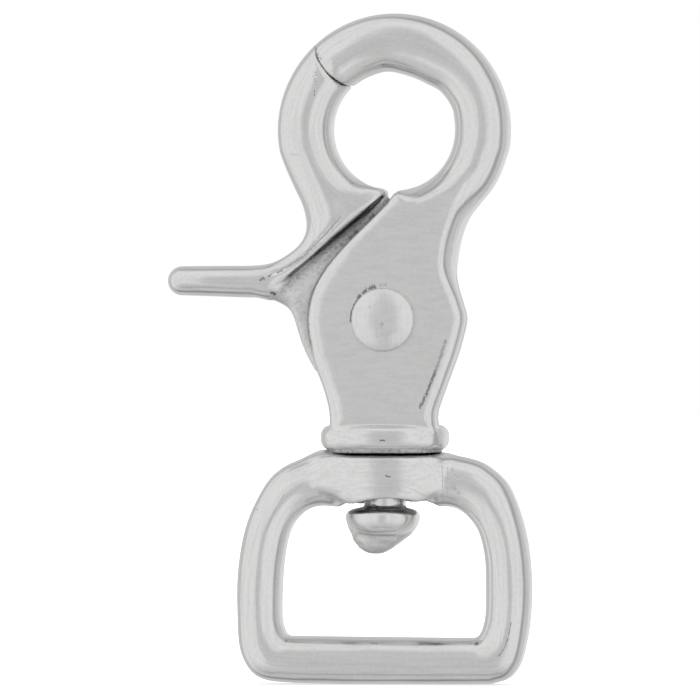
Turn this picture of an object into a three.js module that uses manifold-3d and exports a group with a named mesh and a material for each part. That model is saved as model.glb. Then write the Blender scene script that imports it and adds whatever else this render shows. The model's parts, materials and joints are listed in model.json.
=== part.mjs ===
// Swivel trigger snap with a square strap eye, in millimetres.
// X runs across the snap, Y from its front (-) to its back (+), Z up along the swivel axis.
// The origin is the middle of the strap bar's inner face.
import * as THREE from "three";
import { mergeVertices } from "three/addons/utils/BufferGeometryUtils.js";
import Module from "manifold-3d";

const wasm = await Module();
wasm.setup();

// ---- driving dimensions ----
const GAP = 0.3; // clearance between neighbouring pieces
const SINK = 1; // how far a solid runs into the one it is joined to
const CUTTER = { halfDepth: 9, radius: 24 }; // reach of the shapes that cut right through the snap

// The ring that the hook and the gate close together. It lies in the XZ plane.
const RING = { x: 1.2, z: 64.3, inner: 7.7, outer: 14.8, halfDepth: 3.6, fullness: 0.85 };
const PARTING_ANGLE = 137; // degrees from +X, where the hook's nose meets the gate

// The pivot of the trigger, on the swivel axis.
const PIVOT = { z: 40.2, shank: 2.0, head: 4.0, rim: 0.15, dome: 1.2, hub: 5.5 };

// The cheeks of the body and the slot between them.
const BODY = { halfDepth: 4.5, bevel: 1.5, neckHalfWidth: 6.85, neckTop: 28.8 };
const SLOT = { halfDepth: 2.5, floor: 30.1, wall: 6.2, top: 42.5 };
const WAIST = { x: 22.4, z: 46.6, radius: 13.3 }; // hollow of the right flank
const BULGE = { x: 4.0, z: 40.3, radius: 6.34 }; // swell of the right flank beside the rivet

// The trigger: rib, thumb lever and tang.
const TRIGGER = { halfDepth: 4.1, bevel: 1.0, tangHalfDepth: 2.2 };
const LEVER = { tipX: -25.75, z: 45.2, radius: 1.85 };

// The swivel: oval collar, post and upset head.
const COLLAR = { halfWidth: 8.15, halfDepth: 5.7, bottom: 23.7, top: 26.7, bevel: 1.1 };
const POST = { radius: 2.65, headTop: 16.1, headRadius: 4.6, headHeight: 3.3, rim: 0.8 };
const NUB = { x: -0.7, z: 13.6, halfWidth: 3.8, halfHeight: 3.1 }; // peened end of the post

// The strap eye.
const EYE = { halfDepth: 3.2, bevel: 2.0, top: 23.3, bottom: -6.0, clearTop: 16.6 };
const BOSS = { halfWidth: 8.8, halfDepth: 5.2, bottom: 16.1, bevel: 0.9 };
const SEAT = { halfWidth: 6.1, rise: 1.6 }; // arched relief under the boss

// The return spring round the rivet.
const SPRING = { wire: 0.7, coil: 2.75, turns: 2, front: -1.8, rise: 0.8, leg: 5.7 };
const POCKET = { radius: 3.45, floor: 0.7, reach: 11, windowFrom: -12, windowTo: 68 };

const CURVE_POINTS = 4; // points kept between two named points of a spline

// ---- solids ----
const radians = THREE.MathUtils.degToRad;

function solid(geometry) {
  const bare = geometry.index ? geometry.toNonIndexed() : geometry.clone();
  bare.deleteAttribute("normal");
  bare.deleteAttribute("uv");
  const merged = mergeVertices(bare, 1e-4);
  return new wasm.Manifold(
    new wasm.Mesh({
      numProp: 3,
      vertProperties: merged.attributes.position.array,
      triVerts: new Uint32Array(merged.index.array),
    }),
  );
}

function geometryOf(manifold) {
  const mesh = manifold.getMesh();
  const geometry = new THREE.BufferGeometry();
  geometry.setAttribute("position", new THREE.BufferAttribute(mesh.vertProperties, 3));
  geometry.setIndex(new THREE.BufferAttribute(mesh.triVerts, 1));
  const flat = geometry.toNonIndexed();
  flat.computeVertexNormals();
  return flat;
}

// A shape carried through a depth, with its edges rounded by the bevel.
function extruded(shape, depth, bevel, curveSegments) {
  return new THREE.ExtrudeGeometry(shape, {
    depth: depth - 2 * bevel,
    curveSegments,
    bevelEnabled: bevel > 0,
    bevelSize: bevel,
    bevelThickness: bevel,
    bevelOffset: -bevel,
    bevelSegments: 2,
  });
}

// A plate whose outline is drawn in X and Z and whose depth is centred on `middle` in Y.
function plate(shape, halfDepth, bevel = 0, middle = 0) {
  const geometry = extruded(shape, 2 * halfDepth, bevel, 14);
  geometry.rotateX(Math.PI / 2);
  geometry.translate(0, middle + halfDepth - bevel, 0);
  return solid(geometry);
}

// A disc whose outline is drawn in X and Y, between two heights.
function disc(halfWidth, halfDepth, bottom, top, bevel = 0) {
  const shape = new THREE.Shape();
  shape.absellipse(0, 0, halfWidth, halfDepth, 0, 2 * Math.PI);
  const geometry = extruded(shape, top - bottom, bevel, 22);
  geometry.translate(0, 0, bottom + bevel);
  return solid(geometry);
}

// A solid of revolution about a line along Y or Z; the profile gives radius and place on that line.
function turned(profile, along, segments = 32) {
  const points = profile.map(([radius, place]) => new THREE.Vector2(radius, place));
  const geometry = new THREE.LatheGeometry(points, segments);
  if (along === "z") geometry.rotateX(Math.PI / 2);
  return solid(geometry);
}

// ---- outlines, in X and Z ----
const point = (x, z) => new THREE.Vector2(x, z);

function splineInto(shape, corners) {
  const start = shape.currentPoint.clone();
  const curve = new THREE.SplineCurve([start, ...corners.map(([x, z]) => point(x, z))]);
  curve.getPoints(corners.length * CURVE_POINTS).slice(1).forEach((p) => shape.lineTo(p.x, p.y));
}

function onRing(radius, degrees) {
  const angle = radians(degrees);
  return [RING.x + radius * Math.cos(angle), RING.z + radius * Math.sin(angle)];
}

function ringArc(shape, radius, from, to) {
  const steps = Math.ceil(Math.abs(to - from) / 10);
  for (let i = 0; i <= steps; i++) shape.lineTo(...onRing(radius, from + ((to - from) * i) / steps));
}

function circleArc(shape, circle, from, to, step = 8) {
  const steps = Math.ceil(Math.abs(to - from) / step);
  for (let i = 0; i <= steps; i++) {
    const angle = radians(from + ((to - from) * i) / steps);
    shape.lineTo(circle.x + circle.radius * Math.cos(angle), circle.z + circle.radius * Math.sin(angle));
  }
}

// Both cheeks, from the notch under the ring down to the collar.
function bodyOutline() {
  const shape = new THREE.Shape();
  shape.moveTo(0.5, 55.1);
  shape.lineTo(1.5, 56.5);
  ringArc(shape, RING.inner, -74, -45);
  shape.lineTo(...onRing(RING.outer, -30));
  circleArc(shape, WAIST, 140.1, 198.9);
  circleArc(shape, BULGE, 15, -20);
  shape.lineTo(BODY.neckHalfWidth, BODY.neckTop);
  shape.lineTo(BODY.neckHalfWidth, COLLAR.top - 1);
  shape.lineTo(-BODY.neckHalfWidth, COLLAR.top - 1);
  shape.lineTo(-BODY.neckHalfWidth, BODY.neckTop);
  splineInto(shape, [[-7.9, 33.1], [-9.1, 35.9], [-9.75, 39.8], [-9.1, 43.75]]);
  splineInto(shape, [[-7.45, 46.5], [-4.9, 49.6]]);
  return shape;
}

// The space in which the tang turns, open to the left.
function slotOutline() {
  const shape = new THREE.Shape();
  shape.moveTo(-22, SLOT.floor);
  shape.lineTo(SLOT.wall - 3, SLOT.floor);
  shape.quadraticCurveTo(SLOT.wall, SLOT.floor, SLOT.wall, SLOT.floor + 3);
  shape.lineTo(SLOT.wall, SLOT.top);
  shape.lineTo(1.35, 53.6);
  shape.lineTo(0.2, 57.5);
  shape.lineTo(-22, 57.5);
  return shape;
}

// The full-depth part of the trigger below the gate: rib and thumb lever.
function leverOutline() {
  const shape = new THREE.Shape();
  shape.moveTo(0, 55.6);
  shape.lineTo(-7.3, 49.3);
  shape.lineTo(-14.2, 43.6);
  shape.lineTo(-16.4, 43.1);
  shape.lineTo(LEVER.tipX, LEVER.z - LEVER.radius);
  circleArc(shape, { x: LEVER.tipX, z: LEVER.z, radius: LEVER.radius }, 246, 90, 20);
  splineInto(shape, [[-17, 47.05], [-14.5, 47.35], [-12.3, 48.2], [-10.7, 49.7], [-9.9, 52.2]]);
  shape.lineTo(-10.6, 54.9);
  shape.lineTo(...onRing(RING.outer, 206));
  shape.lineTo(...onRing(RING.inner, 212));
  ringArc(shape, RING.inner, 226, 249);
  return shape;
}

// The tang: from the rib down round the hub to the heel that stops the trigger when it is open.
function tangOutline() {
  const shape = new THREE.Shape();
  shape.moveTo(-0.2, 55.2);
  shape.lineTo(-8.2, 49.6);
  shape.lineTo(-14.6, 44.6);
  splineInto(shape, [[-13.6, 43.0], [-11.4, 41.1], [-10.4, 38.5], [-9.6, 35.6], [-8.3, 33.7]]);
  splineInto(shape, [[-7.3, 33.3], [-5.6, 34.1], [-2.0, 35.1]]);
  circleArc(shape, { x: 0, z: PIVOT.z, radius: PIVOT.hub }, 250, 380);
  shape.lineTo(0.8, 54.2);
  return shape;
}

// The strap eye's outside and its clear opening.
function eyeOutline() {
  const shape = new THREE.Shape();
  const shoulder = [[13.4, 21.5], [16.6, 17.4], [18.3, 12.3]];
  const right = [...shoulder, [18.8, 5.5], [18.4, -0.6], [17.2, -4.1], [13.6, EYE.bottom]];
  shape.moveTo(8.4, EYE.top);
  splineInto(shape, right);
  shape.lineTo(-13.6, EYE.bottom);
  splineInto(shape, [...right.slice(0, -1).reverse(), [8.4, EYE.top]].map(([x, z]) => [-x, z]));
  const opening = new THREE.Path();
  const side = [[12.65, 1.1], [12.98, 4], [12.85, 8], [12.2, 12.7], [10.6, 15.4], [7.6, EYE.clearTop]];
  opening.moveTo(11.5, 0);
  splineInto(opening, side);
  opening.lineTo(-7.6, EYE.clearTop);
  splineInto(opening, [...side.slice(0, -1).reverse(), [11.5, 0]].map(([x, z]) => [-x, z]));
  shape.holes.push(opening);
  return shape;
}

// ---- pieces ----
const fuller = (value, power) => Math.sign(value) * Math.abs(value) ** power;

// The whole ring, its bar a little squarer than an ellipse.
function ring() {
  const middle = (RING.inner + RING.outer) / 2;
  const halfWidth = (RING.outer - RING.inner) / 2;
  const profile = [];
  const sides = 16;
  for (let i = 0; i <= sides; i++) {
    const angle = radians((i * 360) / sides);
    const across = fuller(Math.cos(angle), RING.fullness);
    const deep = fuller(Math.sin(angle), RING.fullness);
    profile.push([middle + halfWidth * across, RING.halfDepth * deep]);
  }
  profile[sides] = profile[0];
  return turned(profile, "y", 52).translate(RING.x, 0, RING.z);
}

// The part of the ring's bar between two angles round the ring.
function ringPart(from, to) {
  const sector = new THREE.Shape();
  sector.moveTo(RING.x, RING.z);
  ringArc(sector, CUTTER.radius, from, to);
  return ring().intersect(plate(sector, CUTTER.halfDepth));
}

// A round bar along the rivet's axis.
function pivotCylinder(radius, front, back) {
  return turned([[0, front], [radius, front], [radius, back], [0, back]], "y").translate(0, 0, PIVOT.z);
}

function swivelPost() {
  const { radius, headTop, headRadius, headHeight, rim } = POST;
  const steps = 8;
  const profile = [[0, headTop - headHeight]];
  for (let i = 1; i <= steps; i++) {
    const angle = radians((i * 90) / steps);
    profile.push([headRadius * Math.sin(angle), headTop - rim - (headHeight - rim) * Math.cos(angle)]);
  }
  profile.push([headRadius - rim / 2, headTop], [radius, headTop]);
  profile.push([radius, COLLAR.bottom + SINK], [0, COLLAR.bottom + SINK]);
  const nub = new THREE.SphereGeometry(1, 20, 10);
  nub.scale(NUB.halfWidth, NUB.halfWidth, NUB.halfHeight);
  nub.translate(NUB.x, 0, NUB.z);
  return turned(profile, "z", 28).add(solid(nub));
}

function hookBody() {
  const hook = ringPart(-75, PARTING_ANGLE);
  const cheeks = plate(bodyOutline(), BODY.halfDepth, BODY.bevel);
  const slot = plate(slotOutline(), SLOT.halfDepth);
  const collar = disc(COLLAR.halfWidth, COLLAR.halfDepth, COLLAR.bottom, COLLAR.top, COLLAR.bevel);
  const bore = pivotCylinder(PIVOT.shank + GAP, -CUTTER.halfDepth, CUTTER.halfDepth);
  return cheeks.subtract(slot).add(hook).add(collar).add(swivelPost()).subtract(bore);
}

function springPocket() {
  const { radius, floor, reach, windowFrom, windowTo } = POCKET;
  const front = -TRIGGER.tangHalfDepth - SINK;
  const middle = (front + floor) / 2;
  const halfDepth = (floor - front) / 2;
  const window = new THREE.Shape();
  window.moveTo(0, PIVOT.z);
  circleArc(window, { x: 0, z: PIVOT.z, radius: reach }, windowFrom, windowTo);
  const legZ = PIVOT.z + SPRING.coil;
  const legHalf = SPRING.wire / 2 + GAP;
  const groove = new THREE.Shape();
  groove.moveTo(0, legZ - legHalf);
  groove.lineTo(0, legZ + legHalf);
  groove.lineTo(-SPRING.leg - GAP, legZ + legHalf);
  groove.lineTo(-SPRING.leg - GAP, legZ - legHalf);
  return pivotCylinder(radius, front, floor)
    .add(plate(window, halfDepth, 0, middle))
    .add(plate(groove, halfDepth, 0, middle));
}

function trigger() {
  const gap = THREE.MathUtils.radToDeg(GAP / RING.inner);
  const gate = ringPart(PARTING_ANGLE + gap, 216);
  const lever = plate(leverOutline(), TRIGGER.halfDepth, TRIGGER.bevel);
  const tang = plate(tangOutline(), TRIGGER.tangHalfDepth);
  const bore = pivotCylinder(PIVOT.shank + GAP, -CUTTER.halfDepth, CUTTER.halfDepth);
  return gate.add(lever).add(tang).subtract(bore).subtract(springPocket());
}

function pivotRivet() {
  const { shank, head, rim, dome } = PIVOT;
  const face = BODY.halfDepth + GAP;
  const steps = 5;
  const back = [[shank, face], [head, face]];
  for (let i = 0; i < steps; i++) {
    const angle = radians((i * 90) / steps);
    back.push([head * Math.cos(angle), face + rim + (dome - rim) * Math.sin(angle)]);
  }
  back.push([0, face + dome]);
  const front = back.map(([radius, y]) => [radius, -y]).reverse();
  return turned([...front, ...back], "y").translate(0, 0, PIVOT.z);
}

// The coil turns round the rivet; both legs leave it at the top, one each way.
class SpringLine extends THREE.Curve {
  getPoint(t) {
    const { coil, turns, front, rise, leg } = SPRING;
    const arc = turns * 2 * Math.PI * coil;
    const along = t * (arc + 2 * leg);
    const wound = Math.min(Math.max(along - leg, 0), arc) / coil;
    const angle = Math.PI / 2 + wound;
    const before = Math.max(leg - along, 0);
    const after = Math.max(along - leg - arc, 0);
    return new THREE.Vector3(
      coil * Math.cos(angle) + before - after,
      front + (rise * wound) / (2 * Math.PI),
      PIVOT.z + coil * Math.sin(angle),
    );
  }
}

function triggerSpring() {
  const section = new THREE.Shape();
  section.absarc(0, 0, SPRING.wire / 2, 0, 2 * Math.PI);
  const geometry = new THREE.ExtrudeGeometry(section, {
    curveSegments: 4,
    steps: 64,
    bevelEnabled: false,
    extrudePath: new SpringLine(),
  });
  return solid(geometry);
}

function strapEye() {
  const loop = plate(eyeOutline(), EYE.halfDepth, EYE.bevel);
  const boss = disc(BOSS.halfWidth, BOSS.halfDepth, BOSS.bottom, EYE.top, BOSS.bevel);
  const clear = POST.radius + GAP;
  const bore = disc(clear, clear, BOSS.bottom - CUTTER.halfDepth, BOSS.bottom + CUTTER.halfDepth);
  const radius = (SEAT.halfWidth ** 2 + SEAT.rise ** 2) / (2 * SEAT.rise);
  const archZ = BOSS.bottom + SEAT.rise - radius;
  const arch = new THREE.Shape();
  circleArc(arch, { x: 0, z: archZ, radius }, 150, 30, 6);
  return loop.add(boss).subtract(plate(arch, CUTTER.halfDepth)).subtract(bore);
}

// ---- the scene graph ----
const snap = new THREE.Group();

function piece(name, made, color, roughness) {
  const material = new THREE.MeshStandardMaterial({ color, roughness, metalness: 1 });
  const mesh = new THREE.Mesh(geometryOf(made), material);
  mesh.name = name;
  snap.add(mesh);
}

piece("hook_body", hookBody(), 0xcfcfce, 0.22);
piece("trigger", trigger(), 0xcccccb, 0.25);
piece("pivot_rivet", pivotRivet(), 0xd2d2d1, 0.24);
piece("trigger_spring", triggerSpring(), 0xa9abad, 0.35);
piece("strap_eye", strapEye(), 0xcdcdcc, 0.24);

export default snap;
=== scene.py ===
import json
import math

import bpy
import numpy as np
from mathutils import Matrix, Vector


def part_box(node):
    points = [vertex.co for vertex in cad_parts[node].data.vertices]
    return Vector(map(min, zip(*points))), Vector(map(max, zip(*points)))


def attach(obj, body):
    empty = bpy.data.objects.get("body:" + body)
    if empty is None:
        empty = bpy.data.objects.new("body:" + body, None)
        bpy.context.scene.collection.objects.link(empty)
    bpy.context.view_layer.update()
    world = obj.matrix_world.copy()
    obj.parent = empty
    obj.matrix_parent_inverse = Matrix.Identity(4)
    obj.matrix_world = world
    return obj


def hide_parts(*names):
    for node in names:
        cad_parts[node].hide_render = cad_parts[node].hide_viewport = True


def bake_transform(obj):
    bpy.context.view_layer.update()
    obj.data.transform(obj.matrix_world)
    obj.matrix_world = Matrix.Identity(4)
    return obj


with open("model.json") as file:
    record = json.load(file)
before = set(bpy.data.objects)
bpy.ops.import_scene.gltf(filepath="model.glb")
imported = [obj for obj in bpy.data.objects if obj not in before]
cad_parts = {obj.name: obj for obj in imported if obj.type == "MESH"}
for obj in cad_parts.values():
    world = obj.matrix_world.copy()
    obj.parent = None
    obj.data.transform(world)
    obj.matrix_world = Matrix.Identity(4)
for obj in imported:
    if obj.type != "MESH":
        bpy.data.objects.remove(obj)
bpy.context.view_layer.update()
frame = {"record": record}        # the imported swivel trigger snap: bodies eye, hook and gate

MM = 0.001               # every size below is in millimetres, in the CAD frame

# ---------------------------------------------------------------- sizes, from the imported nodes
eye_low, eye_high = (np.array(c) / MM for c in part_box("strap_eye"))
_, hook_high = (np.array(c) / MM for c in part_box("hook_body"))
rivet_low, rivet_high = (np.array(c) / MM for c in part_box("pivot_rivet"))
gate_low, _ = (np.array(c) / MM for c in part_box("trigger"))
joint = {j["name"]: j for j in frame["record"]["behaviour"]["joints"]}

PIVOT_Z = joint["trigger_pivot"]["pos_m"][2] / MM
RING_OUTER = 14.8
RING_INNER = 7.7
RING_X = hook_high[0] - RING_OUTER
RING_Z = hook_high[2] - RING_OUTER
BAR = (RING_OUTER - RING_INNER) / 2      # half the hook's bar across
BAR_DEPTH = 3.6                          # half the hook's bar from front to back
RIB_DEPTH = 3.75                         # half the rib from front to back
LEVER_DEPTH = 3.9                        # half the lever from front to back
PARTING = 137.0                          # degrees round the ring from +X, where the nose meets the gate
CHEEK = 4.5                              # half the body's depth
SLOT = 2.5                               # half the slot's width
SLOT_WALL = 6.2                          # the slot's end wall
TANG = 2.2                               # half the tang's thickness
HUB = 5.5                                # radius of the tang round the rivet
BORE = 2.1                               # radius of the rivet's hole
COLLAR = {"half_width": 8.15, "half_depth": 5.9, "foot": 23.7, "top": 26.9, "edge": 1.35}
POST = 2.65                              # radius of the swivel post
POST_CLEARANCE = 0.28                    # between the post and the strap eye's bore
HEAD_TOP = 16.5
LEVER_RADIUS = 1.85
LEVER_TIP = (gate_low[0] + LEVER_RADIUS, 45.2)
EYE_DEPTH = 3.2                          # half the strap eye's bar from front to back
BOSS = {"half_width": 8.8, "foot_half_width": 6.3, "half_depth": 5.2, "middle": 19.75, "half_height": 3.55}
EYE_TOP = eye_high[2]
EYE_FOOT = eye_low[2]
POCKET = {"radius": 3.45, "back": 0.7, "reach": 11, "middle": 28, "spread": 40}
SPRING = {"wire": 0.7, "coil": 2.75, "turns": 2, "front": -1.8, "rise": 0.8, "leg": 5.7}

# ---------------------------------------------------------------- outlines in X and Z


def arc(x, z, radius, start, stop, step=1.5):
    """Points of a circle between two angles in degrees, either way round."""
    count = max(2, int(abs(stop - start) / step) + 1)
    angles = np.radians(np.linspace(start, stop, count))
    return np.stack([x + radius * np.cos(angles), z + radius * np.sin(angles)], 1)


def spline(points, per_span=14):
    """A smooth open curve through the points."""
    p = np.array(points, float)
    p = np.vstack([2 * p[0] - p[1], p, 2 * p[-1] - p[-2]])
    t = np.linspace(0, 1, per_span, endpoint=False)[:, None]
    spans = []
    for a, b, c, d in zip(p, p[1:], p[2:], p[3:]):
        spans.append(0.5 * (2 * b + (c - a) * t + (2 * a - 5 * b + 4 * c - d) * t ** 2
                            + (3 * b - a - 3 * c + d) * t ** 3))
    return np.vstack(spans + [p[-2:-1]])


def outline_distance(x, z, outline, closed=True):
    """Distance from points to an outline, negative inside where it is closed."""
    nearest = np.full(x.shape, 1e9)
    inside = np.zeros(x.shape, bool)
    ends = np.roll(outline, -1, axis=0) if closed else outline[1:]
    for (ax, az), (bx, bz) in zip(outline, ends):
        ex, ez = bx - ax, bz - az
        length = ex * ex + ez * ez
        if length < 1e-10:
            continue
        wx, wz = x - ax, z - az
        t = np.clip((wx * ex + wz * ez) / length, 0, 1)
        nearest = np.minimum(nearest, (wx - ex * t) ** 2 + (wz - ez * t) ** 2)
        if closed and abs(ez) > 1e-9:
            inside ^= ((az <= z) != (bz <= z)) & (x < ax + wz / ez * ex)
    return np.where(inside, -1, 1) * np.sqrt(nearest)


class Plan:
    """The signed distance to an outline, kept on a grid and read with a smooth cubic."""

    def __init__(self, outline, step=0.12, margin=2.5, soften=2, closed=True):
        self.low = outline.min(0) - margin
        self.step = step
        counts = np.ceil((outline.max(0) + margin - self.low) / step).astype(int)
        x = self.low[0] + step * np.arange(counts[0])
        z = self.low[1] + step * np.arange(counts[1])
        grid = outline_distance(*np.meshgrid(x, z, indexing="ij"), outline, closed)
        for _ in range(soften):          # takes the corners off the outline's short segments
            for axis in (0, 1):
                grid = (np.roll(grid, 1, axis) + 2 * grid + np.roll(grid, -1, axis)) / 4
        self.grid = grid.astype(np.float32)

    def __call__(self, x, z):
        """The distance at each point."""
        x, z = np.broadcast_arrays(x, z)
        total = 0.0
        (ix, wx), (iz, wz) = (self.taps(v, axis) for axis, v in enumerate((x, z)))
        for i, a in zip(ix, wx):
            row = 0.0
            for k, b in zip(iz, wz):
                row = row + self.grid[i, k] * b
            total = total + row * a
        return total

    def taps(self, values, axis):
        """The four grid lines round each value along an axis, and their weights."""
        places = np.clip((values - self.low[axis]) / self.step, 1, self.grid.shape[axis] - 3)
        base = np.floor(places).astype(int)
        t = (places - base).astype(np.float32)
        weights = (-t ** 3 + 2 * t ** 2 - t, 3 * t ** 3 - 5 * t ** 2 + 2,
                   -3 * t ** 3 + 4 * t ** 2 + t, t ** 3 - t ** 2)
        return [base + n for n in (-1, 0, 1, 2)], [w / 2 for w in weights]


# ---------------------------------------------------------------- shaping functions


def smooth(value, low, high):
    """Runs smoothly from 0 to 1 as the value goes from low to high."""
    t = np.clip((value - low) / (high - low), 0, 1)
    return t * t * (3 - 2 * t)


def mix(a, b, t):
    """a where t is 0, b where it is 1."""
    return a + (b - a) * t


def join(a, b, radius):
    """The union of two solids with a fillet between them."""
    t = np.clip(0.5 + 0.5 * (b - a) / radius, 0, 1)
    return mix(b, a, t) - radius * t * (1 - t)


def cut(a, b, radius):
    """Solid a without solid b, with the edge rounded off."""
    return -join(-a, b, radius)


def inset(beyond, width):
    """From 0 well inside an edge to 1 on it, over the width of its rounding."""
    return np.clip(beyond / width + 1, 0, None)


def section(edges, depth, half, rise, width, power=2.0):
    """A bar or plate with rounded edges: `edges` from inset(), the depth rounded over `rise`."""
    total = inset(depth - half, rise) ** power
    for edge in edges:
        total = total + edge ** power
    return (total ** (1 / power) - 1) * np.minimum(width, rise)


def oval(x, y, a, b, power=2.0):
    """Roughly the distance outside an oval that is squarer as the power rises."""
    u, v = np.abs(x) / a, np.abs(y) / b
    size = (u ** power + v ** power) ** (1 / power) + 1e-6
    slope = np.sqrt((u ** (power - 1) / a) ** 2 + (v ** (power - 1) / b) ** 2) / size ** (power - 1)
    return (size - 1) / (slope + 1e-6)


def line_side(x, z, start, end):
    """Distance to the left of the line from start to end."""
    dx, dz = end[0] - start[0], end[1] - start[1]
    return (dx * (z - start[1]) - dz * (x - start[0])) / math.hypot(dx, dz)


def near(x, z, place):
    """Distance from a place in a plane."""
    return np.sqrt((x - place[0]) ** 2 + (z - place[1]) ** 2)


# ---------------------------------------------------------------- meshing a solid given by a function
CORNERS = [(i, j, k) for i in (0, 1) for j in (0, 1) for k in (0, 1)]


def crossing_cells(field, step):
    """The cells of the grid that the surface crosses, and the mean of its crossings of their edges."""
    inside = field < 0
    count = sum(inside[i:inside.shape[0] - 1 + i, j:inside.shape[1] - 1 + j, k:inside.shape[2] - 1 + k]
                .astype(np.int8) for i, j, k in CORNERS)
    cells = np.argwhere((count > 0) & (count < 8))
    total = np.zeros((len(cells), 3))
    hits = np.zeros(len(cells))
    for a in CORNERS:
        for axis in range(3):
            if a[axis]:
                continue
            b = list(a)
            b[axis] = 1
            fa = field[tuple((cells + a).T)]
            fb = field[tuple((cells + b).T)]
            crossed = (fa < 0) != (fb < 0)
            place = cells + np.array(a, float)
            place[:, axis] += np.where(crossed, fa / np.where(crossed, fa - fb, 1), 0)
            total += np.where(crossed[:, None], place, 0)
            hits += crossed
    return inside, cells, total / hits[:, None] * step


def net_faces(inside, cells):
    """One quad for each grid edge that crosses the surface, its corners in the four cells round it."""
    number = np.full([n - 1 for n in inside.shape], -1, np.int64)
    number[tuple(cells.T)] = np.arange(len(cells))
    quads = []
    for axis in range(3):
        other = [(axis + 1) % 3, (axis + 2) % 3]
        low_end = [slice(1, -1)] * 3
        high_end = [slice(1, -1)] * 3
        low_end[axis], high_end[axis] = slice(0, -1), slice(1, None)
        starts, ends = inside[tuple(low_end)], inside[tuple(high_end)]
        where = np.argwhere(starts != ends)
        leaving = starts[tuple(where.T)]
        where = where + [0 if n == axis else 1 for n in range(3)]
        corners = []
        for du, dv in ((-1, -1), (0, -1), (0, 0), (-1, 0)):
            at = where.copy()
            at[:, other[0]] += du
            at[:, other[1]] += dv
            corners.append(number[tuple(at.T)])
        quad = np.stack(corners, 1)
        quads.append(np.where(leaving[:, None], quad, quad[:, ::-1]))
    return np.vstack(quads)


def slope_of(solid, points, reach=0.04):
    """The solid's gradient at the points, by differences."""
    steps = np.eye(3) * reach
    return np.stack([solid(*(points + s).T) - solid(*(points - s).T) for s in steps], 1) / (2 * reach)


def settle(solid, points, step, rounds):
    """Moves points on to the surface along its slope."""
    for _ in range(rounds):
        slope = slope_of(solid, points)
        size = np.sum(slope ** 2, 1, keepdims=True) + 1e-6
        move = -solid(*points.T)[:, None] * slope / size
        length = np.linalg.norm(move, axis=1, keepdims=True) + 1e-9
        points = points + move * np.minimum(1, 0.6 * step / length)
    return points


def relax(points, quads):
    """Draws each point towards the middle of its neighbours."""
    total = np.zeros_like(points)
    count = np.zeros(len(points))
    for a, b in ((0, 1), (1, 2), (2, 3), (3, 0)):
        for one, two in ((quads[:, a], quads[:, b]), (quads[:, b], quads[:, a])):
            for axis in range(3):
                total[:, axis] += np.bincount(one, points[two, axis], len(points))
            count += np.bincount(one, minlength=len(points))
    return 0.5 * points + 0.5 * total / np.maximum(count, 1)[:, None]


def surface_of(solid, low, high, step):
    """The solid's surface inside a box, as points and quads."""
    low = np.array(low, float) - 1.7 * step
    counts = np.ceil((np.array(high) + 1.7 * step - low) / step).astype(int) + 1
    x, y, z = (low[n] + step * np.arange(counts[n]) for n in range(3))
    field = solid(x[:, None, None], y[None, :, None], z[None, None, :])
    field = np.broadcast_to(field, tuple(counts))
    inside, cells, points = crossing_cells(field, step)
    quads = net_faces(inside, cells)
    points = settle(solid, points + low, step, 3)
    for _ in range(2):
        points = settle(solid, relax(points, quads), step, 2)
    return points, quads


def mesh_object(name, points, quads, fibre, marks):
    """A smooth-shaded object. Its material reads the fibre vectors and the marks, from 0 to 1."""
    mesh = bpy.data.meshes.new(name)
    mesh.vertices.add(len(points))
    mesh.vertices.foreach_set("co", (np.asarray(points) * MM).astype(np.float32).ravel())
    mesh.loops.add(quads.size)
    mesh.loops.foreach_set("vertex_index", quads.astype(np.int32).ravel())
    mesh.polygons.add(len(quads))
    mesh.polygons.foreach_set("loop_start", np.arange(0, quads.size, quads.shape[1], dtype=np.int32))
    mesh.update(calc_edges=True)
    mesh.validate()
    mesh.polygons.foreach_set("use_smooth", np.ones(len(mesh.polygons), bool))
    layer = mesh.attributes.new("fibre", "FLOAT_VECTOR", "POINT")
    layer.data.foreach_set("vector", fibre.astype(np.float32).ravel())
    for mark, values in marks.items():
        layer = mesh.attributes.new(mark, "FLOAT", "POINT")
        layer.data.foreach_set("value", np.clip(values, 0, 1).astype(np.float32))
    piece = bpy.data.objects.new(name, mesh)
    bpy.context.scene.collection.objects.link(piece)
    return piece


# ---------------------------------------------------------------- hook body
NOTCH = (0.5, 55.0)                      # foot of the notch between the gate's heel and the body
RIGHT_EDGE = [(15.62, 61.3), (14.8, 59.0), (13.74, 56.96), (12.12, 54.93), (10.66, 52.9), (9.75, 50.4),
              (9.27, 47.8), (9.1, 46.0), (9.4, 44.1), (9.95, 42.2), (10.36, 40.5), (10.07, 38.7),
              (9.35, 36.1), (8.45, 33.6), (7.5, 31.0), (6.8, 29.0), (6.66, 28.0), (6.75, 26.9)]
LEFT_EDGE = [(-6.85, 26.9), (-6.9, 28.7), (-7.3, 30.5), (-7.85, 32.2), (-8.5, 33.9), (-9.2, 36.2),
             (-9.75, 39.8), (-9.3, 43.4), (-7.6, 46.5), (-4.9, 49.6), (-2.2, 52.3)]
# The ring's inner edge is a little flat at its upper right.
INNER_EDGE = [(8.9, 64.9), (8.52, 67.1), (7.1, 69.15), (5.3, 70.2), (3.1, 71.15), (0.4, 71.75),
              (-1.9, 71.15), (-3.6, 70.2), (-4.9, 69.1)]
PAST_PARTING = 28                        # degrees that nose and gate run on before they are cut


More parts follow.
